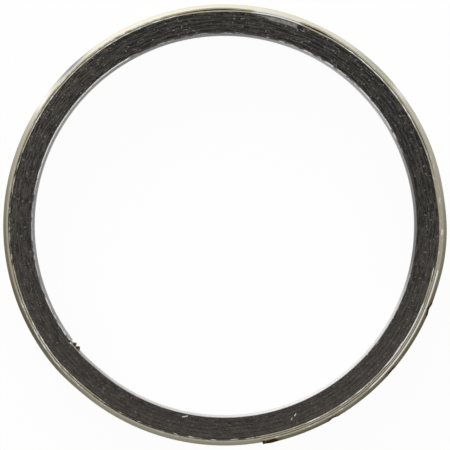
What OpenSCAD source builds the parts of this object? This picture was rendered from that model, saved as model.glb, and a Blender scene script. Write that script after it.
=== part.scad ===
/* [Ring] */
// Diameter of the bore, inside the innermost wrap
bore_d = 64; // [52:0.5:100]
// Number of graphite layers across the face
filler_layers = 5; // [2:1:7]

/* [Steel strip] */
// Width of the strip, from one face of the ring to the other
strip_w = 5.3; // [4:0.1:8]
// Thickness of the strip
strip_t = 0.2; // [0.16:0.01:0.3]
// How far the V pressed into the strip bulges outwards
v_depth = 1; // [0.4:0.05:1.4]
// Height of the straight land along each edge of the strip
land_h = 0.8; // [0.4:0.05:1.2]
// Height of the blunt tip of the V
tip_h = 0.5; // [0.2:0.05:1]

/* [Graphite filler] */
// Thickness of the slot between two turns that the filler tape fills
filler_t = 0.48; // [0.3:0.01:0.65]
// Clearance between the filler tape and the strip on each side of it
filler_clearance = 0.01; // [0.005:0.001:0.02]
// How far the filler stands proud of the strip's edge at each face
filler_proud = 0.1; // [0.02:0.01:0.3]

/* [Winding] */
// Free gap that spring-back leaves between two plain wraps
wrap_gap = 0.08; // [0.03:0.01:0.1]
// Bearing of the strip's inner end, clockwise from +X seen from above
strip_start = 143; // [130:1:200]
// Bearing of the strip's outer cut end
strip_end = 80; // [75:1:110]
// Bearing at which the filler tape starts, and at which it ends five turns later
filler_start = 6; // [0:1:12]
// Angle over which every turn climbs over the strip's inner end
start_climb_angle = 14; // [13:1:20]
// Angle over which every turn climbs on to the filler
filler_climb_angle = 18; // [16:1:24]
// How far the filler's thin end lifts the plain wraps that cross it
tail_climb = 0.18; // [0.05:0.01:0.2]
// Angle over which the plain wraps drop off the filler's end
filler_drop_angle = 16; // [15:1:20]

/* [Spot welds] */
// Number of spot welds that hold the outer end
weld_count = 4; // [1:1:4]
// Angle between two spot welds
weld_pitch = 18.5; // [8:0.5:18.5]
// Angle from the outer cut end back to the last spot weld
weld_setback = 2.2; // [2:0.1:3]
// Diameter of the weld nugget that joins the wraps
nugget_d = 1.2; // [0.6:0.1:2]
// Width of the dent that the electrode leaves, along the rim
dent_w = 2.4; // [1.6:0.1:3]
// Depth of that dent
dent_depth = 0.12; // [0.05:0.01:0.14]

/* [Chipped filler] */
// Bearing at which the chip in the outermost filler layer starts
chip_start = 277; // [200:1:284]
// Bearing at which it ends
chip_end = 290; // [286:1:330]
// Depth of the chip below the filler's face
chip_depth = 1.2; // [0.3:0.1:2]

/* [Hidden] */
$fn = 128;
full_turn = 360;
inner_r = bore_d / 2;
ring_h = strip_w + 2 * filler_proud;
mid_z = ring_h / 2;
// Radial step from one plain wrap to the next, and from one turn with filler to the next
wrap_step = strip_t + wrap_gap;
turn_pitch = strip_t + filler_t;
// Thickness of the tape itself in its slot
tape_t = filler_t - 2 * filler_clearance;
// What a turn still climbs on to the filler when the strip's own inner end has lifted it once
filler_climb = turn_pitch - wrap_step;
// The last turn that lies on filler, and the two plain wraps outside it
last_turn = filler_layers;
middle_wrap = last_turn + 1;
outer_wrap = last_turn + 2;
// Bearings in winding order
start_climb_from = strip_start - start_climb_angle;
filler_climb_to = full_turn + filler_start;
filler_climb_from = filler_climb_to - filler_climb_angle;
filler_drop_to = filler_climb_to + filler_drop_angle;
outer_end = full_turn + strip_end;
// Length, as an angle, of the keys that tie two sweeps together
splice_angle = 0.5;
// Radius of the sphere that presses the electrode's dent
dent_r = (dent_w * dent_w / 4 + dent_depth * dent_depth) / (2 * dent_depth);
steel_colour = "#a5a08c";
graphite_colour = "#403e3a";

// Inner radius of a turn where it is nearest the axis, before it climbs over the strip's inner end
function turn_r(turn) =
    inner_r
    + turn_pitch * min(turn, last_turn)
    + wrap_step * max(turn - last_turn, 0);

// Inner radius of the filler layer that lies on a turn
function filler_r(turn) = turn_r(turn) + strip_t + filler_clearance;

// Unit vector along a clockwise bearing
function toward(bearing) = [cos(bearing), -sin(bearing), 0];

// Distance from the ring's axis to the centres of the two bends of a climb
function bend_offset(climb, angle) = climb / (2 * (1 - cos(angle / 2)));

// A list with each value rounded to hundredths
function rounded(list) = [for (value = list) round(value * 100) / 100];

// Moves by the rounded distance and then by the small rest, which keeps the rest's fine digits
module move(distance) {
    near = rounded(distance);
    translate(near)
        translate(distance - near)
            children();
}

// V-shaped band of one radial thickness: straight lands, slopes and a blunt tip
module v_band(thickness, bottom, top) {
    strip_bottom = filler_proud;
    strip_top = filler_proud + strip_w;
    side = [
        [0, bottom],
        [0, strip_bottom + land_h],
        [v_depth, mid_z - tip_h / 2],
        [v_depth, mid_z + tip_h / 2],
        [0, strip_top - land_h],
        [0, top]
    ];
    last = len(side) - 1;
    outer_side = [for (i = [last:-1:0]) side[i] + [thickness, 0]];
    polygon(concat(side, outer_side));
}

module strip_band() {
    v_band(strip_t, filler_proud, filler_proud + strip_w);
}

module filler_band() {
    v_band(tape_t, 0, ring_h);
}

// Layers of one band swept about one centre, from bearing to bearing
module sweep(radii, from, to, center = [0, 0, 0]) {
    move(center)
        rotate_extrude(angle = to - from, start = -to)
            for (r = radii)
                move([r, 0])
                    children();
}

// Layers that climb together by two smooth bends, one flat and one tight; a drop is a negative climb
module climbing(radii, from, to, climb) {
    offset_r = bend_offset(climb, to - from);
    middle = (from + to) / 2;
    flat_r = [for (r = radii) r + offset_r];
    tight_r = [for (r = radii) r + climb - offset_r];
    sweep(flat_r, from, middle, -offset_r * toward(from))
        children();
    sweep(tight_r, middle, to, offset_r * toward(to))
        children();
}

// Keys inside the lower land that tie two sweeps of one band together where they meet
module splices(radii, bearing, thickness, center = [0, 0, 0]) {
    sweep(radii, bearing - splice_angle / 2, bearing + splice_angle / 2, center)
        translate([thickness / 4, filler_proud + land_h / 4])
            square([thickness / 2, land_h / 2]);
}

// A climb that is tied to the sweeps before and after it
module tied_climb(radii, from, to, climb, thickness) {
    offset_r = bend_offset(climb, to - from);
    climbing(radii, from, to, climb)
        children();
    splices(radii, from, thickness);
    splices([for (r = radii) r + offset_r], (from + to) / 2, thickness, -offset_r * toward(from));
    splices([for (r = radii) r + climb], to, thickness);
}

// The strip's whole winding, from its inner end to its outer cut end
module strip_winding() {
    near_r = [for (turn = [0:middle_wrap]) turn_r(turn)];
    far_r = [for (r = near_r) r + wrap_step];
    lifted_r = [for (turn = [0:last_turn - 1]) far_r[turn]];
    plain_r = [for (turn = [middle_wrap:outer_wrap]) turn_r(turn)];
    sweep([inner_r], strip_start, full_turn + start_climb_from)
        strip_band();
    tied_climb(near_r, start_climb_from, strip_start, wrap_step, strip_t)
        strip_band();
    sweep(far_r, strip_start, filler_climb_from)
        strip_band();
    tied_climb(lifted_r, filler_climb_from, filler_climb_to, filler_climb, strip_t)
        strip_band();
    sweep([for (turn = [1:last_turn]) turn_r(turn)], filler_climb_to, full_turn + start_climb_from)
        strip_band();
    tied_climb(plain_r, filler_climb_from, filler_climb_to, tail_climb, strip_t)
        strip_band();
    tied_climb([for (r = plain_r) r + tail_climb], filler_climb_to, filler_drop_to, -tail_climb, strip_t)
        strip_band();
    sweep([turn_r(middle_wrap)], filler_drop_to, full_turn + start_climb_from)
        strip_band();
    sweep([turn_r(outer_wrap)], filler_drop_to, outer_end)
        strip_band();
}

// Places its children on the V's tip at each spot weld, with +X pointing outwards
module at_welds() {
    for (i = [0:weld_count - 1])
        rotate([0, 0, weld_setback + i * weld_pitch - outer_end])
            translate([0, 0, mid_z])
                children();
}

// Nuggets that join the last turn on the filler and the two plain wraps
module weld_nuggets() {
    nugget_from = turn_r(last_turn) + v_depth + strip_t / 2;
    nugget_to = turn_r(outer_wrap) + v_depth + strip_t / 2;
    at_welds()
        translate([nugget_from, 0, 0])
            rotate([0, 90, 0])
                cylinder(d = nugget_d, h = nugget_to - nugget_from);
}

module electrode_dents() {
    rim_r = turn_r(outer_wrap) + v_depth + strip_t;
    at_welds()
        translate([rim_r + dent_r - dent_depth, 0, 0])
            sphere(r = dent_r);
}

module steel_strip() {
    color(steel_colour)
        difference() {
            union() {
                strip_winding();
                weld_nuggets();
            }
            electrode_dents();
        }
}

// The filler's section where a piece of it has broken off the face
module chipped_band() {
    intersection() {
        filler_band();
        square([v_depth + filler_t, ring_h - chip_depth]);
    }
}

// The last layer's end, pressed thin because the strip under it climbs more than the wraps over it
module filler_tail() {
    tail_r = filler_r(last_turn - 1) + wrap_step;
    intersection() {
        climbing([tail_r], filler_climb_from, filler_climb_to, filler_climb)
            v_band(2 * tape_t, 0, ring_h);
        climbing([tail_r - tape_t], filler_climb_from, filler_climb_to, tail_climb)
            v_band(2 * tape_t, 0, ring_h);
    }
    splices([tail_r], filler_climb_from, tape_t);
}

module graphite_filler() {
    near_r = [for (turn = [0:last_turn - 1]) filler_r(turn)];
    whole_r = [for (turn = [0:last_turn - 2]) filler_r(turn) + wrap_step];
    outer_r = [filler_r(last_turn - 1) + wrap_step];
    color(graphite_colour)
        union() {
            sweep(near_r, filler_start, start_climb_from)
                filler_band();
            tied_climb(near_r, start_climb_from, strip_start, wrap_step, tape_t)
                filler_band();
            sweep(whole_r, strip_start, filler_climb_from)
                filler_band();
            sweep(outer_r, strip_start, chip_start)
                filler_band();
            splices(outer_r, chip_start, tape_t);
            sweep(outer_r, chip_start, chip_end)
                chipped_band();
            splices(outer_r, chip_end, tape_t);
            sweep(outer_r, chip_end, filler_climb_from)
                filler_band();
            tied_climb(whole_r, filler_climb_from, filler_climb_to, filler_climb, tape_t)
                filler_band();
            filler_tail();
        }
}

steel_strip();
graphite_filler();
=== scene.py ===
"""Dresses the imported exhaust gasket: a V-profiled steel strip wound with graphite tape, seen from above."""

import logging
import math
from dataclasses import astuple, dataclass
from enum import Enum
from functools import cached_property
from typing import Any

import bpy
import numpy as np
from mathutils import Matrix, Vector


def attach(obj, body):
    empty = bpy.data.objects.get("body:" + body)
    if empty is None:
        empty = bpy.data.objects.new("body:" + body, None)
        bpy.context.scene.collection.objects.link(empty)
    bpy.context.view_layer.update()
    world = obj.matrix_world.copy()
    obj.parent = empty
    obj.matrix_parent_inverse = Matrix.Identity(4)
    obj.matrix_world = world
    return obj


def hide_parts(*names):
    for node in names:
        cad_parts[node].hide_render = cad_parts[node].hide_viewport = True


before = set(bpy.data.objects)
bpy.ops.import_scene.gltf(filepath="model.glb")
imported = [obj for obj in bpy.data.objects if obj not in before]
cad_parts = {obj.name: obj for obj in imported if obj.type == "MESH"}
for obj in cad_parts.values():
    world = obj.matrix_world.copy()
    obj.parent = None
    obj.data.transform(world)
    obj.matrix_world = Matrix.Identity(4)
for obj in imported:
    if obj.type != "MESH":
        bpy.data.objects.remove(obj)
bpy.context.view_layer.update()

MM = 0.001
FULL_TURN = 360.0
# Bearing of the ring's side that faces the light, at the top of the picture
LIT_BEARING = 270.0
# Name of the map of millimetres along and across each band
LENGTHS = "lengths"
# Numbers of the Mix node's colour sockets
MIX_FIRST = 6
MIX_SECOND = 7
MIX_RESULT = 2
BODY = "root"
LOG = logging.getLogger("gasket")

Array = np.ndarray
Colour = tuple[float, float, float]
Knots = tuple[tuple[float, float], ...]
Socket = bpy.types.NodeSocket


class Slot(Enum):
    """Slot names of the two finishes."""

    STRIP = "strip_steel"
    GRAPHITE = "graphite"


class Node(Enum):
    """The solids that the dressed pieces stand for."""

    STRIP = "steel_strip"
    FILLER = "graphite_filler"


def ramp(share: Array) -> Array:
    """Two equal bends that rise from 0 to 1 with the share of a climb, held at both ends."""
    s = np.clip(share, 0.0, 1.0)
    return np.where(s < 0.5, 2.0 * s * s, 1.0 - 2.0 * (1.0 - s) ** 2)


def rising(at: Array, start: float | Array, width: float) -> Array:
    """A straight rise from 0 at the start to 1 a width further on."""
    return np.clip((at - start) / width, 0.0, 1.0)


def falling(at: Array, end: float, width: float) -> Array:
    """A straight fall from 1, a width before the end, to 0 at the end."""
    return np.clip((end - at) / width, 0.0, 1.0)


def follow(knots: Knots, bearing: Array) -> Array:
    """Values along a line of knots, each a bearing and its value."""
    return np.interp(bearing, *zip(*knots))


def away_from_light(bearing: Array) -> Array:
    """0 on the ring's lit side and 1 on the side across from it."""
    return 0.5 - 0.5 * np.cos(np.radians(bearing - LIT_BEARING))


def on_ring(bearing: Array, radius: Array, z: Array) -> Array:
    """Points in metres, from clockwise bearings in degrees and radii and heights in millimetres."""
    a = np.radians(bearing)
    return np.stack([radius * np.cos(a), -radius * np.sin(a), z], axis=-1) * MM


@dataclass(frozen=True)
class Rise:
    """A smooth bump, by the place of its middle, half its width and its height."""

    middle: float
    half_width: float
    height: float = 1.0

    def share(self, place: Array) -> Array:
        """Closeness to the middle, from 0 to 1."""
        away = np.clip(np.abs(place - self.middle) / self.half_width, 0.0, 1.0)
        return (1.0 - away * away) ** 2

    def at(self, place: Array) -> Array:
        """Height of the bump."""
        return self.height * self.share(place)


@dataclass(frozen=True)
class Stretch:
    """A stretch of one wrap's edge with soft ends, in degrees, and how far it is rubbed or smeared."""

    middle: float
    half_angle: float
    share: float
    soft: float = 4.0

    def at(self, bearing: Array) -> Array:
        """The share along the edge."""
        inside = self.half_angle + self.soft - np.abs(bearing - self.middle)
        return self.share * ramp(inside / self.soft)


@dataclass(frozen=True)
class Zone:
    """A part of the ring between two bearings, the angles over which it fades in and out, and a share."""

    start: float
    end: float
    fade_in: float
    fade_out: float
    share: float = 1.0

    def at(self, bearing: Array) -> Array:
        """The share inside the zone, and 0 outside it."""
        faded_in = ramp((bearing - self.start) / self.fade_in)
        return self.share * faded_in * ramp((self.end - bearing) / self.fade_out)


def strongest(places: tuple[Rise | Stretch, ...], bearing: Array) -> Array:
    """The largest value of a few places at each bearing."""
    return np.maximum.reduce([place.at(bearing) for place in places])


@dataclass(frozen=True)
class Waver:
    """Seeded smooth unevenness along the winding, between about -1 and 1, times a weight."""

    seed: int
    period: float
    weight: float = 1.0
    levels: int = 8192
    first_level: int = 1000

    def at(self, bearing: Array) -> Array:
        """Reads the unevenness.

        Args:
            bearing: Cumulative bearings in degrees.

        Returns:
            One value for each bearing.
        """
        drawn = np.random.default_rng(self.seed).uniform(-1.0, 1.0, self.levels)
        place = np.asarray(bearing, float) / self.period + self.first_level
        low = np.floor(place).astype(int)
        share = place - low
        blend = share * share * (3.0 - 2.0 * share)
        before, after = drawn[low % self.levels], drawn[(low + 1) % self.levels]
        return self.weight * (before * (1.0 - blend) + after * blend)


@dataclass(frozen=True)
class Winding:
    """Radii of the wound strip against its cumulative clockwise bearing, in millimetres and degrees."""

    bore_r: float = 32.0
    strip_t: float = 0.2
    # Radial step from each turn to the next; the last two steps have no filler under them
    steps: tuple[float, ...] = (0.62, 0.667, 0.667, 0.667, 0.867, 0.33, 0.33)
    layers: int = 5
    start_climb: float = 0.21
    strip_start: float = 143.0
    strip_end: float = 80.0
    filler_start: float = 366.0
    # How far the tape's thin ends reach before its start and past its end
    filler_early: float = 11.0
    filler_late: float = 9.0
    start_climb_angle: float = 14.0
    filler_climb_angle: float = 18.0
    drop_delay: float = 1.5
    drop_angle: float = 11.0
    tail_lift: float = 0.12
    # Where a plain wrap springs outwards, by cumulative bearing
    springs: tuple[Rise, ...] = (
        Rise(2255, 22, 0.05), Rise(2445, 9, 0.12), Rise(2805, 9, 0.06), Rise(2862, 15, 0.05))

    @property
    def last_r(self) -> float:
        """Inner radius of the last wrap."""
        return self.bore_r + sum(self.steps)

    @property
    def covered(self) -> float:
        """Cumulative bearing from which the strip lies over its own inner end."""
        return self.strip_start + FULL_TURN

    @property
    def last_layer(self) -> float:
        """Where the outermost filler layer's own bearings count from."""
        return FULL_TURN * self.layers

    @property
    def first_wrap(self) -> float:
        """Where the first plain wrap's own bearings count from."""
        return self.last_layer + FULL_TURN

    @property
    def last_wrap(self) -> float:
        """Where the last wrap's own bearings count from."""
        return FULL_TURN * len(self.steps)

    @property
    def strip_finish(self) -> float:
        """Cumulative bearing of the outer cut end."""
        return self.last_wrap + FULL_TURN + self.strip_end

    @property
    def filler_finish(self) -> float:
        """Cumulative bearing of the filler's end."""
        return self.filler_start + self.last_layer

    def radius(self, bearing: Array) -> Array:
        """Inner radius of the strip.

        Args:
            bearing: Cumulative bearings in degrees.

        Returns:
            Radii in millimetres.
        """
        r = np.full(bearing.shape, self.bore_r)
        for turn, step in enumerate(self.steps, 1):
            own = bearing - FULL_TURN * turn
            lift = self.tail_lift if turn > self.layers else 0.0
            over_start = ramp((own - self.strip_start) / self.start_climb_angle + 1.0)
            on_filler = ramp((own - self.filler_start) / self.filler_climb_angle + 1.0)
            off_tail = ramp((own - self.filler_start - self.drop_delay) / self.drop_angle)
            r += self.start_climb * over_start + (step - self.start_climb) * on_filler
            r += lift * (on_filler - off_tail)
        for spring in self.springs:
            r += spring.at(bearing)
        return r


@dataclass(frozen=True)
class Chevron:
    """Section of the strip: straight lands, slopes and a blunt tip that points outwards, in millimetres."""

    depth: float = 0.855
    low: float = 0.1
    high: float = 5.4
    land: float = 0.8
    tip: float = 0.5
    bend: float = 0.26
    bend_taps: int = 9

    @property
    def middle(self) -> float:
        """Height of the tip's middle."""
        return (self.low + self.high) / 2.0

    def bulge(self, z: Array) -> Array:
        """How far the section stands out at a height, with its bends rounded.

        Args:
            z: Heights in millimetres.

        Returns:
            Radial distances in millimetres.
        """
        foot = self.middle - self.low - self.land
        shoulder = self.tip / 2.0
        total = np.zeros_like(z, dtype=float)
        for tap in np.linspace(-0.5, 0.5, self.bend_taps):
            away = np.abs(z + tap * self.bend - self.middle)
            total += falling(away, foot, foot - shoulder)
        return self.depth * total / self.bend_taps


@dataclass
class SweptBand:
    """A closed band swept along the winding: one ring of section points at each station."""

    name: str
    points: Array
    along: Array
    across: Array
    marks: dict[str, Array]
    sharp_rows: tuple[int, ...]
    # Step on the map of lengths across the face that closes the section
    seam: float = 0.1

    def build(self) -> bpy.types.Object:
        """Makes the mesh, its map of lengths and its marks.

        Returns:
            The new object, linked to the scene.
        """
        mesh = bpy.data.meshes.new(self.name)
        self.fill(mesh)
        self.crease(mesh)
        for mark, values in self.marks.items():
            made = mesh.attributes.new(mark, "FLOAT", "POINT")
            made.data.foreach_set("value", values.astype(np.float32).ravel())
        mesh.validate()
        piece = bpy.data.objects.new(self.name, mesh)
        bpy.context.scene.collection.objects.link(piece)
        return piece

    def fill(self, mesh: bpy.types.Mesh) -> None:
        """Writes points, faces and the map of millimetres along and across the band.

        Args:
            mesh: Mesh to fill.
        """
        stations, ring = self.points.shape[:2]
        index = np.arange(stations * ring).reshape(stations, ring)
        ahead = np.roll(index, -1, axis=1)
        quads = np.stack([index[:-1], index[1:], ahead[1:], ahead[:-1]], axis=-1).reshape(-1, 4)
        corners = np.concatenate([quads.ravel(), index[0], index[-1][::-1]])
        totals = np.array([4] * len(quads) + [ring] * 2)
        places = np.stack([self.along[corners // ring], self.across[corners % ring]], axis=-1)
        closing = quads[:, 2] % ring == 0
        places[:quads.size].reshape(-1, 4, 2)[closing, 2:, 1] = self.across[-1] + self.seam
        mesh.vertices.add(index.size)
        mesh.vertices.foreach_set("co", self.points.astype(np.float32).ravel())
        mesh.loops.add(len(corners))
        mesh.loops.foreach_set("vertex_index", corners.astype(np.int32))
        mesh.polygons.add(len(totals))
        mesh.polygons.foreach_set("loop_start", (np.cumsum(totals) - totals).astype(np.int32))
        mesh.polygons.foreach_set("use_smooth", totals == 4)
        mesh.uv_layers.new(name=LENGTHS).data.foreach_set("uv", places.astype(np.float32).ravel())
        mesh.update(calc_edges=True)

    def crease(self, mesh: bpy.types.Mesh) -> None:
        """Keeps the shading apart along the sharp rows and round the two ends.

        Args:
            mesh: Mesh whose edges are made.
        """
        ring = self.points.shape[1]
        pairs = np.empty(2 * len(mesh.edges), np.int32)
        mesh.edges.foreach_get("vertices", pairs)
        pairs = pairs.reshape(-1, 2)
        rows = pairs % ring
        sharp = (rows[:, 0] == rows[:, 1]) & np.isin(rows[:, 0], self.sharp_rows)
        sharp |= (pairs < ring).all(axis=1) | (pairs >= len(mesh.vertices) - ring).all(axis=1)
        mesh.attributes.new("sharp_edge", "BOOLEAN", "EDGE").data.foreach_set("value", sharp)


@dataclass(frozen=True)
class Grain:
    """A noise: scales along and across the band, or one scale in space, and its finer octaves."""

    scale: tuple[float, float] | float
    detail: float = 2.0
    rough: float = 0.5


@dataclass(frozen=True)
class Span:
    """A smooth step: the two values between which it runs, and its results there."""

    low: float
    high: float
    to_low: float = 0.0
    to_high: float = 1.0


@dataclass(frozen=True)
class BurntSpot:
    """A burnt spot on the strip, by its place and half sizes on the map of lengths, in millimetres."""

    along: float
    across: float
    half_along: float
    half_across: float


class NodeBench:
    """Short ways to lay out a material's nodes."""

    def __init__(self, name: str) -> None:
        """Starts a material that has only an output node.

        Args:
            name: Material name.
        """
        self.material = bpy.data.materials.new(name)
        self.material.use_nodes = True
        self.tree = self.material.node_tree
        self.tree.nodes.clear()
        self.output = self.tree.nodes.new("ShaderNodeOutputMaterial")

    def node(self, kind: str, inputs: dict[str | int, Any], **settings: Any) -> bpy.types.Node:
        """Adds a node.

        Args:
            kind: Node type without the ShaderNode prefix.
            inputs: A socket, number, vector or colour for its sockets, by their names or numbers.
            settings: Properties to set on it.

        Returns:
            The node.
        """
        made = self.tree.nodes.new("ShaderNode" + kind)
        for key, value in settings.items():
            setattr(made, key, value)
        for key, value in inputs.items():
            socket = made.inputs[key]
            if isinstance(value, Socket):
                self.tree.links.new(value, socket)
            else:
                socket.default_value = (*value, 1.0) if socket.type == "RGBA" else value
        return made

    def surface(self, shader: bpy.types.Node) -> bpy.types.Material:
        """Links a shader to the output and gives the finished material."""
        self.tree.links.new(shader.outputs[0], self.output.inputs["Surface"])
        return self.material

    def mark(self, name: str) -> Socket:
        """The value of a point mark."""
        return self.node("Attribute", {}, attribute_name=name).outputs["Fac"]

    def lengths(self, scale: Colour, shift: Colour = (0.0, 0.0, 0.0)) -> Socket:
        """The map of lengths, scaled and then shifted."""
        place = self.node("UVMap", {}, uv_map=LENGTHS).outputs[0]
        return self.node("Mapping", {"Vector": place, "Location": shift, "Scale": scale}).outputs[0]

    def away(self, spot: BurntSpot) -> Socket:
        """Distance from a burnt spot's middle on the map of lengths, 1 at its border.

        Args:
            spot: The spot.

        Returns:
            A value socket.
        """
        shift = (-spot.along / spot.half_along, -spot.across / spot.half_across, 0.0)
        moved = self.lengths((1.0 / spot.half_along, 1.0 / spot.half_across, 0.0), shift)
        return self.node("VectorMath", {0: moved}, operation="LENGTH").outputs["Value"]

    def noise(self, grain: Grain) -> Socket:
        """A noise texture's value.

        Args:
            grain: Its scale and its octaves.

        Returns:
            A value socket.
        """
        if isinstance(grain.scale, tuple):
            place, scale = self.lengths((*grain.scale, 1.0)), 1.0
        else:
            place, scale = self.node("TexCoord", {}).outputs["Object"], grain.scale
        inputs = {"Vector": place, "Scale": scale, "Detail": grain.detail, "Roughness": grain.rough}
        return self.node("TexNoise", inputs).outputs[0]

    def math(self, operation: str, a: Any, b: Any, clamp: bool = False) -> Socket:
        """The result of an operation on two values, held between 0 and 1 if clamp is set."""
        return self.node("Math", {0: a, 1: b}, operation=operation, use_clamp=clamp).outputs[0]

    def add(self, a: Any, b: Any) -> Socket:
        """The sum of two values."""
        return self.math("ADD", a, b)

    def times(self, a: Any, b: Any) -> Socket:
        """The product of two values."""
        return self.math("MULTIPLY", a, b)

    def larger(self, a: Any, b: Any) -> Socket:
        """The larger one of two values."""
        return self.math("MAXIMUM", a, b)

    def span(self, value: Socket, step: Span) -> Socket:
        """A value mapped by a smooth step."""
        inputs = dict(zip(("Value", "From Min", "From Max", "To Min", "To Max"), (value, *astuple(step))))
        return self.node("MapRange", inputs, interpolation_type="SMOOTHSTEP", clamp=True).outputs[0]

    def mix(self, share: Socket, a: Any, b: Any, blend: str = "MIX") -> Socket:
        """A mix of two colours.

        Args:
            share: How much of the second colour.
            a: First colour or socket.
            b: Second colour or socket.
            blend: Blend type.

        Returns:
            A colour socket.
        """
        inputs = {0: share, MIX_FIRST: a, MIX_SECOND: b}
        made = self.node("Mix", inputs, data_type="RGBA", blend_type=blend, clamp_factor=True)
        return made.outputs[MIX_RESULT]

    def bump(self, height: Socket, distance: float, strength: Any) -> Socket:
        """A normal bumped by a height, with the distance in metres at 1 and a strength."""
        return self.node("Bump", {"Strength": strength, "Distance": distance, "Height": height}).outputs[0]


@dataclass(frozen=True)
class StripFinish:
    """Rolled stainless strip: yellowish drawn steel, smeared edges, brown heat tint at the welds, and painted
    highlights, reflections, glints and shade.
    """

    outer_steel: Colour = (0.585, 0.565, 0.475)
    inner_steel: Colour = (0.3, 0.3, 0.305)
    # Colour of the painted highlight on the bore wall
    bore_highlight_colour: Colour = (0.79, 0.79, 0.81)
    # Heat tint near the welds, also used for painted shade on the sides away from the light
    tint_and_shade_colour: Colour = (0.14, 0.124, 0.045)
    # Colours of a painted dark reflection, a painted green reflection and painted shade
    painted_dark_reflection: Colour = (0.22, 0.22, 0.232)
    painted_green_reflection: Colour = (0.42, 0.45, 0.35)
    painted_shade: Colour = (0.1, 0.09, 0.072)
    weld_tint: Colour = (0.17, 0.125, 0.06)
    electrode: Colour = (0.15, 0.125, 0.095)
    scorch: Colour = (0.035, 0.02, 0.007)
    smear: Colour = (0.066, 0.061, 0.055)
    slit_edge: Colour = (0.47, 0.435, 0.33)
    # Bright metal of mashed and rubbed places, also the colour of painted highlights and glints
    bright: Colour = (0.8, 0.78, 0.74)
    # Noises on the map of lengths
    drawn: Grain = Grain((0.35, 16.0), 4.0, 0.6)
    fine: Grain = Grain((2.2, 30.0), 3.0)
    cloud: Grain = Grain((0.12, 0.5), 3.0)
    patchy: Grain = Grain((0.8, 3.0), 4.0, 0.65)
    ragged: Grain = Grain((1.9, 2.6), 3.0, 0.6)
    # Steps that turn a noise, or the distance from a burnt spot, into a share
    drawn_light: Span = Span(0.35, 0.7, 0.0, 0.35)
    cloudy_tint: Span = Span(0.25, 0.6, 0.8, 1.0)
    ragged_border: Span = Span(0.25, 0.75, -0.22, 0.22)
    scorched: Span = Span(0.8, 1.1, 1.0, 0.0)
    tinted: Span = Span(0.9, 1.9, 0.7, 0.0)
    electrode_spot: Span = Span(0.0, 0.5, 0.6, 0.0)
    smear_patches: Span = Span(0.3, 0.75, 0.45, -0.55)
    smear_border: Span = Span(0.25, 0.6)
    rub_and_glint_border: Span = Span(0.66, 0.84)
    rub_and_glint_reach: float = 0.42
    bare_patches: Span = Span(0.3, 0.5, 0.35, 1.0)
    rough_range: Span = Span(0.3, 0.7, 0.57, 0.69)
    # Roughness that smears and soot add, dullness and relief
    smear_rough: float = 0.15
    scorch_rough: float = 0.2
    edge_dull: float = 0.08
    bare_dull: float = 0.6
    sheen: float = 0.3
    relief: float = 0.5
    edge_relief: float = 0.35
    relief_height: float = 0.00001

    def rolled(self, n: NodeBench, drawn: Socket) -> Socket:
        """Colour of the strip's sides away from the welds, with painted reflections, highlights and shade.

        Args:
            n: Bench of the strip's material.
            drawn: Value of the drawn lines.

        Returns:
            A colour socket.
        """
        # The bore wall runs from its own steel to a painted highlight, by bearing
        bore = n.mix(n.mark("bore_highlight_share"), self.inner_steel, self.bore_highlight_colour)
        steel = n.mix(n.mark("outer"), bore, self.outer_steel)
        # Painted reflections and painted highlights on the last wrap
        for film, colour in (("dark_reflection_mark", self.painted_dark_reflection), ("green_reflection_mark", self.painted_green_reflection), ("painted_highlights", self.bright)):
            steel = n.mix(n.mark(film), steel, colour)
        steel = n.mix(n.span(drawn, self.drawn_light), steel, self.bright, "SOFT_LIGHT")
        # Heat tint near the welds and painted shade on the sides away from the light
        tinted_and_shaded = n.times(n.mark("tint_and_shade_share"), n.span(n.noise(self.cloud), self.cloudy_tint))
        steel = n.mix(tinted_and_shaded, steel, self.tint_and_shade_colour)
        # Painted shade on the last wrap's shoulder and on the bore's upper land
        return n.mix(n.mark("shade_mark"), steel, self.painted_shade)

    def material(self, spots: list[BurntSpot]) -> bpy.types.Material:
        """Lays out the nodes.

        Args:
            spots: Burnt spots at the welds and at the strip's inner end.

        Returns:
            The strip's material.
        """
        n = NodeBench("drawn_strip_steel")
        drawn, patchy, edge = n.noise(self.drawn), n.noise(self.patchy), n.mark("edge")
        near = n.away(spots[0])
        for spot in spots[1:]:
            near = n.math("MINIMUM", near, n.away(spot))
        near = n.add(near, n.span(n.noise(self.ragged), self.ragged_border))
        scorched = n.span(near, self.scorched)
        covered = n.add(n.mark("smear"), n.span(patchy, self.smear_patches))
        covered = n.times(n.span(covered, self.smear_border), edge)
        # Rubbed edges and painted glints turn patches of the edge bright
        reach = n.add(patchy, n.times(n.mark("paling"), self.rub_and_glint_reach))
        mashed = n.times(n.mark("bare"), n.span(patchy, self.bare_patches))
        bare = n.larger(mashed, n.times(n.span(reach, self.rub_and_glint_border), edge))
        steel = self.rolled(n, drawn)
        coats = (
            (n.span(near, self.tinted), self.weld_tint),
            (scorched, self.scorch),
            (n.span(near, self.electrode_spot), self.electrode),
            (n.times(edge, n.mark("outer")), self.slit_edge),
            (covered, self.smear),
            (bare, self.bright),
        )
        for share, colour in coats:
            steel = n.mix(share, steel, colour)
        rough = n.add(n.span(drawn, self.rough_range), n.times(covered, self.smear_rough))
        dull = n.larger(covered, n.times(edge, self.edge_dull))
        dull = n.larger(n.larger(dull, scorched), n.times(bare, self.bare_dull))
        relief = n.math("SUBTRACT", self.relief, n.times(edge, self.edge_relief))
        inputs = {
            "Base Color": steel,
            "Metallic": n.math("SUBTRACT", 1.0, dull, clamp=True),
            "Roughness": n.add(rough, n.times(scorched, self.scorch_rough)),
            "Specular IOR Level": n.times(n.math("SUBTRACT", 1.0, scorched), self.sheen),
            "Normal": n.bump(n.add(drawn, n.noise(self.fine)), self.relief_height, relief),
        }
        return n.surface(n.node("BsdfPrincipled", inputs))


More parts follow.
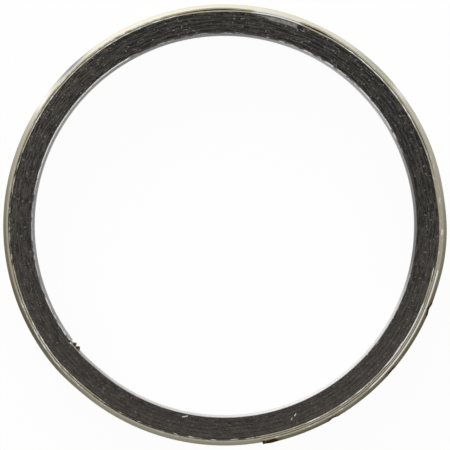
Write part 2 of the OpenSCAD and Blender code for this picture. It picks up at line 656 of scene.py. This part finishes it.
@dataclass(frozen=True)
class GraphiteFinish:
    """Pressed flexible graphite: matt dark grey with fine lines along the winding and painted glints."""

    dark: Colour = (0.018, 0.0175, 0.0155)
    pale: Colour = (0.08, 0.07, 0.061)
    scratch: Colour = (0.75, 0.74, 0.72)
    # Colour of painted glints on the face
    glint_colour: Colour = (0.22, 0.21, 0.195)
    broken: Colour = (0.46, 0.435, 0.395)
    # Noises, in space or on the map of lengths
    grain: Grain = Grain(9000.0, 3.0, 0.6)
    cloud: Grain = Grain(900.0, 3.0)
    lines: Grain = Grain((0.45, 9.0), 4.0, 0.65)
    streaks: Grain = Grain((0.5, 4.2), 2.0, 0.6)
    blots: Grain = Grain(2900.0, 2.0, 0.6)
    tears: Grain = Grain(2100.0, 3.0, 0.6)
    # Dashes and specks of painted glints
    dashes: Grain = Grain((1.76, 4.16))
    specks: Grain = Grain(2600.0, 1.0)
    # How the noises and marks add up to paler graphite, torn places and painted glints
    line_share: float = 0.6
    grain_share: float = 0.4
    smear_share: float = 0.4
    worn_range: Span = Span(0.36, 0.66, -0.2, 0.64)
    cloud_range: Span = Span(0.35, 0.7, -0.12, 0.2)
    streak_range: Span = Span(0.38, 0.62, -0.8, 0.48)
    blot_range: Span = Span(0.3, 0.7, -0.22, 0.22)
    tear_range: Span = Span(0.3, 0.7, 0.55, 1.0)
    dash_border: Span = Span(0.67, 0.76)
    speck_border: Span = Span(0.65, 0.73)
    rough_range: Span = Span(0.3, 0.7, 0.62, 0.78)
    sheen: float = 0.1
    relief: float = 0.6
    relief_height: float = 0.00002

    def material(self) -> bpy.types.Material:
        """Lays out the nodes.

        Returns:
            The filler's material.
        """
        n = NodeBench("pressed_graphite")
        grain, lines = n.noise(self.grain), n.noise(self.lines)
        paling = n.add(n.times(lines, self.line_share), n.times(grain, self.grain_share))
        pale = n.add(n.span(paling, self.worn_range), n.times(n.mark("smear"), self.smear_share))
        pale = n.add(pale, n.span(n.noise(self.cloud), self.cloud_range))
        streaks = n.span(n.noise(self.streaks), self.streak_range)
        pale = n.add(pale, n.times(streaks, n.mark("streaky")))
        pale = n.math("ADD", pale, n.span(n.noise(self.blots), self.blot_range), clamp=True)
        torn = n.times(n.mark("broken"), n.span(n.noise(self.tears), self.tear_range))
        dashes = n.span(n.noise(self.dashes), self.dash_border)
        # Painted glints: bright dashes and specks
        painted_glints = n.larger(dashes, n.span(n.noise(self.specks), self.speck_border))
        graphite = n.mix(pale, self.dark, self.pale)
        graphite = n.mix(torn, graphite, self.broken)
        graphite = n.mix(n.times(painted_glints, n.mark("painted_glints")), graphite, self.glint_colour)
        inputs = {
            "Base Color": n.mix(n.mark("scratch"), graphite, self.scratch),
            "Roughness": n.span(grain, self.rough_range),
            "Specular IOR Level": self.sheen,
            "Normal": n.bump(n.add(grain, lines), self.relief_height, self.relief),
        }
        return n.surface(n.node("BsdfPrincipled", inputs))


@dataclass(frozen=True)
class FloorFinish:
    """Plain white floor that the camera and the metal see as white, with the ring's soft shadow."""

    white: Colour = (0.9, 0.9, 0.9)
    glow: float = 0.95
    mirrored_glow: float = 0.25

    def material(self) -> bpy.types.Material:
        """Lays out the nodes.

        Returns:
            The floor's material.
        """
        n = NodeBench("white_floor")
        path = n.node("LightPath", {}).outputs
        seen = n.times(n.larger(path["Is Camera Ray"], path["Is Transmission Ray"]), self.glow)
        mirrored = n.times(path["Is Glossy Ray"], self.mirrored_glow)
        diffuse = n.node("BsdfDiffuse", {"Color": self.white})
        light = n.node("Emission", {"Strength": 1.0})
        shaders = {0: n.larger(seen, mirrored), 1: diffuse.outputs[0], 2: light.outputs[0]}
        return n.surface(n.node("MixShader", shaders))


@dataclass
class WoundPiece:
    """What the two wound pieces share: the winding, the section and the way they are dressed."""

    winding: Winding
    chevron: Chevron

    def along(self, bearing: Array) -> Array:
        """Millimetres along the map of lengths, which has the bore's radius on every turn."""
        return np.radians(bearing) * self.winding.bore_r

    def dress(
        self, band: SweptBand, material: bpy.types.Material, node: Node, slot: Slot
    ) -> bpy.types.Object:
        """Builds a band and gives it its material and its place in the frame.

        Args:
            band: The swept band.
            material: Its material.
            node: The solid that it stands for.
            slot: Not used.

        Returns:
            The finished piece.
        """
        piece = band.build()
        piece.data.materials.append(material)
        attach(piece, BODY)
        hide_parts(node.value)
        return piece


@dataclass(frozen=True)
class Weld:
    """A spot weld on the last wrap, or a burnt splash beside one, in degrees and millimetres."""

    bearing: float
    half_length: float
    half_height: float
    dent: float
    dent_half_length: float = 1.0


@dataclass
class SteelStrip(WoundPiece):
    """The wound strip with its welds, burrs and cut ends, in millimetres and degrees."""

    finish: StripFinish
    # Steps between stations, and the lengths of the stretches that have their own
    inner_step: float = 0.7
    splash_step: float = 0.18
    hidden_step: float = 2.4
    outer_step: float = 0.75
    weld_step: float = 0.33
    splash_zone: float = 4.6
    shown_lead: float = 30.0
    weld_zone: float = 64.0
    # Heights of section points from the edges, the bends and the tip's upper corner
    edge_round: float = 0.04
    land_level: float = 0.3
    lower_bend: tuple[float, ...] = (-0.12, 0.14)
    upper_bend: tuple[float, ...] = (-0.14, 0.0, 0.14)
    flank: tuple[float, ...] = (-1.45, -0.95, -0.65, -0.38, -0.15, 0.15, 0.45, 0.95)
    edge_band: float = 0.05
    # Uneven edges
    edge_share: float = 0.7
    burrs: tuple[float, float] = (0.03, 0.09)
    burr_fade: float = 4.0
    flares: tuple[Waver, ...] = (Waver(11, 9.0, 0.6), Waver(12, 2.3, 0.4))
    waves: tuple[Waver, ...] = (Waver(13, 1.4, 0.5), Waver(14, 5.0, 0.5))
    land_flare: float = 0.021
    edge_wave: float = 0.02
    edge_rise: float = 0.055
    sunk_fade: float = 8.0
    open_gaps: tuple[Rise, ...] = (Rise(295.5, 6, 0.12), Rise(267, 9, 0.06))
    gap_inward: float = 0.6
    # Mashed spots on the first plain wrap, and where the last wrap leans on it
    patch: Rise = Rise(35, 2.1, 0.5)
    burr: Rise = Rise(12.6, 1.2, 0.4)
    tail: Rise = Rise(1, 22, 0.26)
    closed: Rise = Rise(356, 22, 0.17)
    bare_gain: float = 1.6
    # Welds, and the soot beside the inner end
    welds: tuple[Weld, ...] = (
        Weld(22.2, 1.55, 1.25, 0.14, 0.9),
        Weld(41.2, 1.3, 1.05, 0.04),
        Weld(60.5, 1.2, 1.15, 0.14, 0.9),
        Weld(77.6, 1.5, 1.6, -0.06),
        Weld(79.8, 0.35, 2.0, 0.0),
    )
    weld_dent: Rise = Rise(0, 1.05)
    weld_border: Rise = Rise(1.1, 0.3, 0.25)
    weld_ragged: Waver = Waver(21, 0.9, 0.5)
    splashes: tuple[Rise, ...] = (Rise(140.1, 0.9, 0.38), Rise(141.6, 0.75, 0.38))
    splash_top: float = 1.2
    soot_height: float = 1.3
    # Painted reflections, painted highlights and painted shade on the last wrap, and its tint: heat tint near
    # the welds with painted shade on the sides away from the light
    painted_dark_reflection: Rise = Rise(226, 8)
    painted_green_reflection: Rise = Rise(314, 11)
    painted_shade: Rise = Rise(150, 15, 0.72)
    painted_highlights: tuple[Rise, ...] = (Rise(214.5, 4.5, 0.8), Rise(323, 4, 0.8))
    tint_and_shade_knots: Knots = (
        (80, 0.48), (125, 0.48), (140, 0.95), (165, 0.95), (190, 0.72), (205, 0.4),
        (213, 0), (245, 0), (265, 0.1), (288, 0.1), (305, 0), (330, 0.1),
        (345, 0.3), (360, 0.68), (372, 0.8), (380, 1), (440, 0.86))
    # Bore wall: a painted highlight that brightens it by bearing, and painted shade on its upper land
    bore_highlight_share: Knots = (
        (0, 0.03), (10, 0), (24, 0.95), (70, 0.95), (100, 0.7), (125, 0.8),
        (150, 0.36), (190, 0.5), (215, 0.56), (240, 0.4), (275, 0.42), (300, 1),
        (328, 1), (340, 0.5), (355, 0.15), (360, 0.03))
    # Painted shade on the bore wall's upper land, on the side away from the light
    shaded: Zone = Zone(15, 138, 20, 8, 0.75)
    # Fades of the marks, in degrees along the strip and millimetres across it
    outer_fade: float = 40.0
    plain_delay: float = 3.0
    plain_fade: float = 6.0
    foot_fade: float = 0.4
    crest_fade: float = 0.5
    rim_top: float = 1.45
    shoulder_foot: float = 0.5
    land_fade: float = 0.1
    # Graphite smeared over the edges, the innermost edge darker round the top, and stretches of edge that are
    # rubbed bright with painted glints; on the innermost turn they are painted glints alone
    inner_smear: float = 0.8
    clean: Zone = Zone(138, 345, 8, 15, 0.5)
    darker_at_top: Rise = Rise(268, 45, 0.32)
    face_smear: float = 0.9
    shade_smear: float = 0.3
    plain_smear: float = -0.6
    first_smeared: tuple[Stretch, ...] = (Stretch(104, 22, 1.15), Stretch(184, 16, 1.0))
    inner_glints: tuple[Stretch, ...] = (
        Stretch(30, 12, 0.3), Stretch(150, 8, 0.55), Stretch(217, 22, 0.75), Stretch(320, 14, 0.6))
    first_rubs_and_glints: tuple[Stretch, ...] = (
        Stretch(180, 200, 0.25), Stretch(31, 8, 0.85), Stretch(53, 14, 0.55), Stretch(145, 14, 0.5),
        Stretch(232, 24, 0.5), Stretch(284, 5, 1.0), Stretch(318, 14, 0.6))
    last_rubs_and_glints: tuple[Stretch, ...] = (
        Stretch(260, 180, 0.3), Stretch(146, 14, 0.55), Stretch(232, 24, 0.55), Stretch(284, 5, 1.0),
        Stretch(390, 16, 1.0), Stretch(425, 15, 0.32))

    @cached_property
    def t(self) -> Array:
        """Cumulative bearings of the stations, closer together where the strip shows.

        Returns:
            Bearings in degrees.
        """
        w = self.winding
        shown, welded = w.filler_finish - self.shown_lead, w.strip_finish - self.weld_zone
        places = (w.strip_start, w.covered - self.splash_zone, w.covered, shown, welded, w.strip_finish)
        steps = (self.inner_step, self.splash_step, self.hidden_step, self.outer_step, self.weld_step)
        legs = zip(places, places[1:], steps)
        runs = [np.linspace(a, b, int(round((b - a) / step)), endpoint=False) for a, b, step in legs]
        return np.concatenate([*runs, [w.strip_finish]])

    @cached_property
    def z(self) -> Array:
        """Heights of the section's points on one side, from the lower edge to the upper one.

        Returns:
            Heights in millimetres.
        """
        c = self.chevron
        lower = [c.low + c.land + x for x in self.lower_bend]
        flank = [c.middle + c.tip / 2.0 + x for x in self.flank]
        upper = [c.high - c.land + x for x in self.upper_bend]
        ends = [c.high - self.land_level, c.high - self.edge_round, c.high]
        return np.array([c.low, c.low + self.edge_round, *lower, *flank, *upper, *ends])

    @property
    def first(self) -> Array:
        """Bearings of the stations, counted from the first plain wrap's start."""
        return self.t - self.winding.first_wrap

    @property
    def last(self) -> Array:
        """Bearings of the stations, counted from the last wrap's start."""
        return self.t - self.winding.last_wrap

    def build(self) -> bpy.types.Object:
        """Sweeps the section along the winding and dresses it.

        Returns:
            The strip.
        """
        w, t, z = self.winding, self.t, self.z
        side_r, tall = self.side()
        thickness = np.full(side_r.shape, w.strip_t)
        thickness[:, [0, -1]] *= self.edge_share
        thickness[:, -2:] += np.outer(ramp((t - w.filler_finish) / self.burr_fade), self.burrs)
        inner = side_r + (w.strip_t - thickness) / 2.0 - self.leaning() - self.splash()
        outer = side_r + (w.strip_t + thickness) / 2.0
        ring_r = np.concatenate([inner, outer[:, ::-1]], axis=1)
        ring_z = np.concatenate([tall, tall[:, ::-1]], axis=1)
        points = on_ring(t[:, None], ring_r, ring_z)
        marks = {k: np.concatenate([v, v[:, ::-1]], axis=1) for k, v in self.marks().items()}
        girth = np.concatenate([z, 2.0 * z[-1] + w.strip_t - z[::-1]])
        edges = (0, len(z) - 1, len(z), 2 * len(z) - 1)
        band = SweptBand("wound_strip", points, self.along(t), girth, marks, edges)
        return self.dress(band, self.finish.material(self.burnt_spots(girth)), Node.STRIP, Slot.STRIP)

    def burnt_spots(self, girth: Array) -> list[BurntSpot]:
        """Places of the welds' marks and of the soot at the inner end.

        Args:
            girth: Places of the section's points across the map of lengths.

        Returns:
            The spots on the map of lengths.
        """
        w, c = self.winding, self.chevron
        tip = girth[0] + girth[-1] - c.middle
        shrink = w.bore_r / (w.last_r + c.depth)
        spots = []
        for weld in self.welds:
            place = self.along(w.last_wrap + FULL_TURN + weld.bearing)
            spots.append(BurntSpot(place, tip, weld.half_length * shrink, weld.half_height))
        for bead in self.splashes:
            place = self.along(FULL_TURN + bead.middle)
            spots.append(BurntSpot(place, c.low, self.along(bead.half_width), self.soot_height))
        return spots

    def splash(self) -> Array:
        """How far the burnt splash beside the strip's inner end stands into the bore.

        Returns:
            Millimetres inwards for each station and section point.
        """
        c = self.chevron
        beads = sum(bead.at(self.t - FULL_TURN) for bead in self.splashes)
        return np.outer(beads, falling(self.z, c.low + self.splash_top * c.land, c.land))

    def side(self) -> tuple[Array, Array]:
        """The section's inner side, with edges and lands waved a little, as slit strip has them.

        Returns:
            Radii and heights of the side's points.
        """
        w, c, t, z = self.winding, self.chevron, self.t, self.z
        top = rising(z, c.high - c.land, c.land)
        flare = self.land_flare * sum(waver.at(t) for waver in self.flares)
        for gap in self.open_gaps:
            flare = flare + gap.at(self.last) - self.gap_inward * gap.at(self.first)
        side_r = w.radius(t)[:, None] + c.bulge(z) + self.weld_shape() + np.outer(flare, top ** 2)
        sunk = away_from_light(t) * ramp((w.filler_finish - t) / self.sunk_fade)
        wave = self.edge_wave * sum(waver.at(t) for waver in self.waves)
        return side_r, z + np.outer(self.edge_rise * (1.0 - sunk) + wave, top ** 3)

    def weld_shape(self) -> Array:
        """Radial change at the welds: the electrode's dent with a low, ragged border.

        Returns:
            Millimetres outwards for each station and section point.
        """
        c, rim = self.chevron, self.winding.last_r + self.chevron.depth
        ragged = 0.5 + self.weld_ragged.at(self.t)[:, None]
        total = np.zeros((len(self.t), len(self.z)))
        for weld in self.welds:
            along = np.radians(self.last - FULL_TURN - weld.bearing) * rim
            up = (self.z - c.middle) / weld.half_height
            away = np.hypot(along[:, None] / weld.dent_half_length, up)
            total += weld.dent * (ragged * self.weld_border.at(away) - self.weld_dent.at(away))
        return total

    def leaning(self) -> Array:
        """How far mashed and leaning stretches of the upper edge stand inwards.

        Returns:
            Millimetres inwards for each station and section point.
        """
        mashed = self.patch.at(self.first) + self.burr.at(self.first)
        leaning = self.tail.at(self.last) + self.closed.at(self.last)
        return np.outer(mashed + leaning, self.z > self.chevron.high - self.edge_band)

    def marks(self) -> dict[str, Array]:
        """Marks that guide the finish.

        Returns:
            Values for each station and section point, by name.
        """
        w, c, t, z = self.winding, self.chevron, self.t, self.z
        phi, first, last = np.mod(t, FULL_TURN), self.first, self.last
        everywhere = np.ones(len(z))
        edge = (z > c.high - self.edge_band) | (z < c.low + self.edge_band)
        slope = rising(z, c.low + c.land, self.foot_fade) * falling(z, c.high - c.land, self.crest_fade)
        rim = falling(z, c.middle + self.rim_top, self.foot_fade) * slope
        shoulder = rising(z, c.middle + self.shoulder_foot, self.crest_fade)
        upper_land = rising(z, c.high - c.land - self.land_fade, self.land_fade)
        mashed = np.maximum(self.patch.share(first), self.burr.share(first))
        shaded = self.shaded.at(phi) * (t < w.covered)
        return {
            "outer": np.outer(ramp((t - w.filler_finish) / self.outer_fade + 1.0), everywhere),
            # Painted highlight on the bore wall, by bearing
            "bore_highlight_share": np.outer(follow(self.bore_highlight_share, phi), everywhere),
            "edge": np.tile(edge, (len(t), 1)),
            "smear": np.outer(self.smear(), everywhere),
            # Heat tint near the welds and painted shade on the sides away from the light
            "tint_and_shade_share": np.outer(follow(self.tint_and_shade_knots, last), slope),
            # Painted reflections and painted highlights on the last wrap's slope
            "dark_reflection_mark": np.outer(self.painted_dark_reflection.at(last), rim),
            "green_reflection_mark": np.outer(self.painted_green_reflection.at(last), slope),
            "painted_highlights": np.outer(strongest(self.painted_highlights, last), slope),
            # Painted shade on the last wrap's shoulder and on the bore's upper land
            "shade_mark": np.maximum(np.outer(self.painted_shade.at(last), shoulder), np.outer(shaded, upper_land)),
            "bare": np.outer(np.clip(self.bare_gain * mashed, 0.0, 1.0), edge),
            # Rubbed edges with painted glints
            "paling": np.outer(self.rubbed_and_glinting(), everywhere),
        }

    def smear(self) -> Array:
        """How much graphite is smeared over the edges.

        Returns:
            Values from below 0 for a clean edge to above 1.
        """
        w, t, phi = self.winding, self.t, np.mod(self.t, FULL_TURN)
        # The innermost edge is darker round bearing 268, at the top of the picture
        inner = self.inner_smear - self.clean.at(phi) + self.darker_at_top.at(phi)
        face = self.face_smear + self.shade_smear * away_from_light(t)
        filled = np.where(t < w.covered, inner, face)
        plain = ramp((t - w.filler_finish - self.plain_delay) / self.plain_fade)
        smeared = self.plain_smear + strongest(self.first_smeared, self.first)
        return filled * (1.0 - plain) + smeared * plain

    def rubbed_and_glinting(self) -> Array:
        """How far the plain wraps' edges are rubbed bright with painted glints, and where the innermost
        turn's edge carries painted glints.

        Returns:
            Values from 0 to 1.
        """
        # Here rubbed holds the innermost turn's painted glints
        w, t, rubbed = self.winding, self.t, self.inner_glints
        total = np.maximum(strongest(rubbed, t), strongest(rubbed, t - FULL_TURN)) * (t < w.covered)
        total = np.where(self.first > 0.0, strongest(self.first_rubs_and_glints, self.first), total)
        return np.where(self.last > w.strip_end, strongest(self.last_rubs_and_glints, self.last), total)


@dataclass(frozen=True)
class Scratch:
    """A straight scratch on the face, by the bearings and radii of its two ends."""

    first: float
    first_r: float
    last: float
    last_r: float


@dataclass
class GraphiteFiller(WoundPiece):
    """The graphite tape between the turns, pressed proud of the strip at both faces."""

    finish: GraphiteFinish
    step: float = 0.55
    height: float = 5.5
    # Room round the tape, and its least thickness
    clearance: float = 0.012
    loose: float = 0.1
    thinnest: float = 0.02
    # Section points: the foot's round, the neck under the lips, places across the top and the foot
    foot_round: float = 0.03
    neck: float = 0.1
    top_shares: tuple[float, ...] = (0.0, 0.2, 0.4, 0.6, 0.8, 1.0)
    foot_shares: tuple[float, float] = (0.75, 0.25)
    side_gap: float = 0.01
    rough: float = 0.024
    rough_seed: int = 31
    rough_period: float = 0.8
    rough_shift: float = 7.0
    # Lips that spread over the strip's edges, less on the lit side
    lip_lit: float = 0.04
    lip_shaded: float = 0.1
    lip_mean: float = 0.8
    lip_waves: tuple[Waver, Waver] = (Waver(41, 1.7, 0.35), Waver(42, 1.7, 0.35))
    lip_inside: float = 0.6
    groove: Rise = Rise(220, 32, 0.05)
    last_fade: float = 6.0
    last_trim: float = 0.7
    # The broken piece, and the bright scratches
    chip_from: float = 275.0
    chip_to: float = 290.0
    chip_depth: float = 0.32
    chip_taper: float = 13.0
    chip_width: float = 1.5
    chip_slope: float = 0.25
    chip_rim: float = 0.02
    break_half: float = 0.06
    scratches: tuple[Scratch, ...] = (
        Scratch(101.0, 32.3, 102.4, 32.62),
        Scratch(69.2, 33.5, 69.7, 33.75),
        Scratch(70.6, 34.0, 71.0, 34.15),
    )
    scratch_width: float = 0.07
    scratch_core: float = 1.5
    scratch_step: float = 0.1
    scratch_margin: float = 0.4
    # Marks that guide the finish
    face_band: float = 0.3
    broken_top: float = 0.1
    broken_fade: float = 0.12
    broken_band: float = 0.85
    smear_base: float = 0.15
    rubbed: Zone = Zone(-25.0, 250.0, 40.0, 30.0)
    rubbed_share: float = 0.78
    rubbed_outer: float = 0.5
    paler: Rise = Rise(46, 42, 0.35)
    streak_share: float = 1.3
    # Painted glints on the face, fewer on the side away from the light
    glint_share: float = 0.9
    glint_shade_loss: float = 0.5

    @cached_property
    def t(self) -> Array:
        """Cumulative bearings of the stations, close together at the scratches and at the broken end.

        Returns:
            Bearings in degrees.
        """
        w, margin = self.winding, self.scratch_margin
        start, finish = w.filler_start - w.filler_early, w.filler_finish + w.filler_late
        even = np.linspace(start, finish, int((finish - start) / self.step))
        runs = [np.arange(s.first - margin, s.last + margin, self.scratch_step) for s in self.scratches]
        close = np.add.outer(FULL_TURN * np.arange(1, w.layers + 1), np.concatenate(runs)).ravel()
        close = close[(close > start) & (close < finish)]
        broken = w.last_layer + self.chip_to + np.array([-self.break_half, self.break_half])
        return np.unique(np.round(np.concatenate([even, close, broken]), 5))

    @property
    def chipped(self) -> Array:
        """Whether each station lies in the broken stretch of the outermost layer."""
        phi = self.t - self.winding.last_layer
        return (phi > self.chip_from) & (phi < self.chip_to)

    @property
    def levels(self) -> tuple[float, ...]:
        """Heights of the points up one side of the section.

        Returns:
            Heights in millimetres, from the foot to the neck.
        """
        c, up = self.chevron, self.chevron.tip / 2.0
        bends = (c.low + c.land, c.middle - up, c.middle + up, c.high - c.land)
        return (self.foot_round, *bends, c.high - self.neck)

    def build(self) -> bpy.types.Object:
        """Sweeps the tape along the winding and dresses it.

        Returns:
            The filler.
        """
        ring_r, ring_z = self.section()
        points = on_ring(self.t[:, None], ring_r, ring_z)
        usual = len(self.t) // 3
        lengths = np.hypot(np.diff(ring_r[usual]), np.diff(ring_z[usual]))
        girth = np.concatenate([[0.0], np.cumsum(lengths)])
        sides, across = len(self.levels), len(self.top_shares)
        corners = (0, sides, sides + across - 1, 2 * sides + across - 1)
        band = SweptBand("graphite_tape", points, self.along(self.t), girth, self.marks(points), corners)
        return self.dress(band, self.finish.material(), Node.FILLER, Slot.GRAPHITE)

    def section(self) -> tuple[Array, Array]:
        """Section points: up the inner side, across the top, down the outer side and across the foot.

        Returns:
            Radii and heights in millimetres, for each station and point.
        """
        w, c, t = self.winding, self.chevron, self.t
        inner = w.radius(t) + w.strip_t + self.clearance
        room = w.radius(t + FULL_TURN) - self.clearance - inner
        loose = self.loose * ramp((t - w.filler_finish + FULL_TURN) / w.filler_climb_angle)
        tape = np.clip(room - loose, self.thinnest, None)
        heights = [np.full(len(t), z) for z in self.levels]
        radii = [inner + c.bulge(level) for level in heights]
        lips, drop = self.lips(), self.chip()
        for i, share in enumerate(self.top_shares):
            spread = (2.0 * share - 1.0) * lips[int(share > 0.5)] * (drop[:, i] < self.chip_rim)
            if 0.0 < share < 1.0:
                spread = self.lip_inside * spread
            uneven = 0.5 + 0.5 * Waver(self.rough_seed + i, self.rough_period).at(t + self.rough_shift * i)
            heights.append(self.height - self.clearance - self.rough * uneven - drop[:, i])
            radii.append(inner + tape * share + spread + c.bulge(heights[-1]))
        lowest = heights[-1] - self.side_gap
        for z in self.levels[::-1]:
            heights.append(np.minimum(z, lowest))
            radii.append(inner + tape + c.bulge(heights[-1]))
        for share in self.foot_shares:
            heights.append(np.zeros(len(t)))
            radii.append(inner + tape * share)
        return np.stack(radii, axis=1), np.stack(heights, axis=1)

    def lips(self) -> tuple[Array, Array]:
        """How far the pressed top spreads over the strip's edges.

        Returns:
            Inner and outer spread in millimetres.
        """
        w, t = self.winding, self.t
        base = self.lip_lit + (self.lip_shaded - self.lip_lit) * away_from_light(t)
        inner, outer = (base * (self.lip_mean + waver.at(t)) for waver in self.lip_waves)
        groove = self.groove.share(t - FULL_TURN) * (t < w.filler_start + FULL_TURN)
        trim = self.last_trim * ramp((t - w.filler_finish + FULL_TURN) / self.last_fade)
        return inner * (1.0 - groove) - self.groove.height * groove, outer * (1.0 - trim)

    def chip(self) -> Array:
        """Depth of the piece that has broken off the outermost layer.

        Returns:
            Millimetres for each station and each place across the top.
        """
        begun = (self.t - self.winding.last_layer - self.chip_from) / self.chip_taper
        border = 1.0 - self.chip_width * ramp(begun)[:, None]
        reach = rising(np.array(self.top_shares), border, self.chip_slope)
        return self.chip_depth * reach * self.chipped[:, None]

    def scratched(self, points: Array) -> Array:
        """Closeness to the few bright scratches on the face.

        Args:
            points: The band's points in metres.

        Returns:
            Values from 0 to 1 for each point.
        """
        flat = points[..., :2] / MM
        total = np.zeros(flat.shape[:2])
        for mark in self.scratches:
            bearings, radii = np.array([mark.first, mark.last]), np.array([mark.first_r, mark.last_r])
            start, end = on_ring(bearings, radii, np.zeros(2))[:, :2] / MM
            run = end - start
            share = np.clip(((flat - start) @ run) / (run @ run), 0.0, 1.0)
            away = np.linalg.norm(flat - start - share[..., None] * run, axis=-1)
            total = np.maximum(total, np.clip(self.scratch_core - away / self.scratch_width, 0.0, 1.0))
        return total

    def marks(self, points: Array) -> dict[str, Array]:
        """Marks that guide the finish.

        Args:
            points: The band's points in metres.

        Returns:
            Values for each station and section point, by name.
        """
        w, t = self.winding, self.t
        deep = self.height - points[..., 2] / MM
        face = deep < self.face_band
        # Bearings that run on through 0, because the rubbed zone starts before it
        phi = np.mod(t + FULL_TURN / 4.0, FULL_TURN) - FULL_TURN / 4.0
        shaded = away_from_light(t)
        outwards = ramp((t - w.filler_start) / w.last_layer)
        rubbed = self.rubbed.at(phi) * (self.rubbed_share + self.rubbed_outer * outwards)
        smear = self.smear_base + rubbed + self.paler.at(phi)
        streaky = np.clip(self.streak_share * (1.0 - shaded), 0.0, 1.0)
        broken = rising(deep, self.broken_top, self.broken_fade) * (deep < self.broken_band)
        return {
            "smear": smear[:, None] * face,
            "streaky": streaky[:, None] * face,
            # Painted glints, fewer on the side away from the light
            "painted_glints": (self.glint_share - self.glint_shade_loss * shaded)[:, None] * face,
            "broken": broken * self.chipped[:, None],
            "scratch": self.scratched(points) * face,
        }


@dataclass
class Studio:
    """Floor, soft light from the top of the picture and the camera above the ring."""

    floor: FloorFinish
    floor_half: float = 1.2
    floor_drop: float = 0.00002
    # The picture: its width and the ring's centre in pixels, a pixel's size and distances in millimetres
    frame_pixels: float = 450.0
    ring_centre: tuple[float, float] = (223.9, 225.1)
    pixel: float = 0.1665
    distance: float = 400.0
    top: float = 5.5
    sensor: float = 36.0
    clip: tuple[float, float] = (0.01, 5.0)
    # The light: degrees, its distance in millimetres, its size in metres, and watts
    key_bearing: float = 255.0
    key_elevation: float = 14.0
    key_distance: float = 700.0
    key_width: float = 1.25
    key_height: float = 0.24
    key_power: float = 7.6
    sky: float = 0.64

    def build(self) -> None:
        """Makes everything round the object."""
        bpy.context.scene.view_settings.view_transform = "Standard"
        self.make_floor()
        self.make_world()
        self.make_key()
        self.make_camera()

    def make_floor(self) -> None:
        """Lays the floor under the ring."""
        mesh = bpy.data.meshes.new("floor")
        half = self.floor_half
        corners = [(-half, -half, 0.0), (half, -half, 0.0), (half, half, 0.0), (-half, half, 0.0)]
        mesh.from_pydata(corners, [], [(0, 1, 2, 3)])
        mesh.materials.append(self.floor.material())
        ground = bpy.data.objects.new("floor", mesh)
        ground.location.z = -self.floor_drop
        bpy.context.scene.collection.objects.link(ground)

    def make_world(self) -> None:
        """Sets the even light from all round."""
        world = bpy.data.worlds.new("soft_room")
        world.use_nodes = True
        background = world.node_tree.nodes["Background"]
        background.inputs["Color"].default_value = (1.0, 1.0, 1.0, 1.0)
        background.inputs["Strength"].default_value = self.sky
        bpy.context.scene.world = world

    def make_key(self) -> None:
        """Hangs the soft light beyond the ring's +Y side."""
        lamp = bpy.data.lights.new("window_light", "AREA")
        lamp.shape = "RECTANGLE"
        lamp.size = self.key_width
        lamp.size_y = self.key_height
        lamp.energy = self.key_power
        light = bpy.data.objects.new("window_light", lamp)
        up = math.radians(self.key_elevation)
        flat, high = self.key_distance * math.cos(up), self.key_distance * math.sin(up)
        light.location = on_ring(self.key_bearing, flat, high)
        light.rotation_euler = (-light.location).to_track_quat("-Z", "Y").to_euler()
        bpy.context.scene.collection.objects.link(light)

    def make_camera(self) -> None:
        """Sets the camera straight above, so that the ring lands where the photo has it."""
        lens = bpy.data.cameras.new("camera")
        lens.sensor_fit = "HORIZONTAL"
        lens.sensor_width = self.sensor
        lens.lens = self.sensor * self.distance / (self.frame_pixels * self.pixel)
        lens.clip_start, lens.clip_end = self.clip
        camera = bpy.data.objects.new("camera", lens)
        middle = (self.frame_pixels - 1.0) / 2.0
        shift_x = (middle - self.ring_centre[0]) * self.pixel
        shift_y = (self.ring_centre[1] - middle) * self.pixel
        camera.location = Vector((shift_x, shift_y, self.distance + self.top)) * MM
        bpy.context.scene.collection.objects.link(camera)
        bpy.context.scene.camera = camera


def main() -> None:
    """Builds the pieces in order and reports each one, then makes the studio."""
    logging.basicConfig(level=logging.INFO, format="%(name)s: %(message)s")
    winding, chevron = Winding(), Chevron()
    makers = (
        SteelStrip(winding, chevron, StripFinish()),
        GraphiteFiller(winding, chevron, GraphiteFinish()),
    )
    for maker in makers:
        piece = maker.build()
        LOG.info("%s: %d points, %d faces", piece.name, len(piece.data.vertices), len(piece.data.polygons))
    Studio(FloorFinish()).build()


if __name__ == "__main__":
    main()
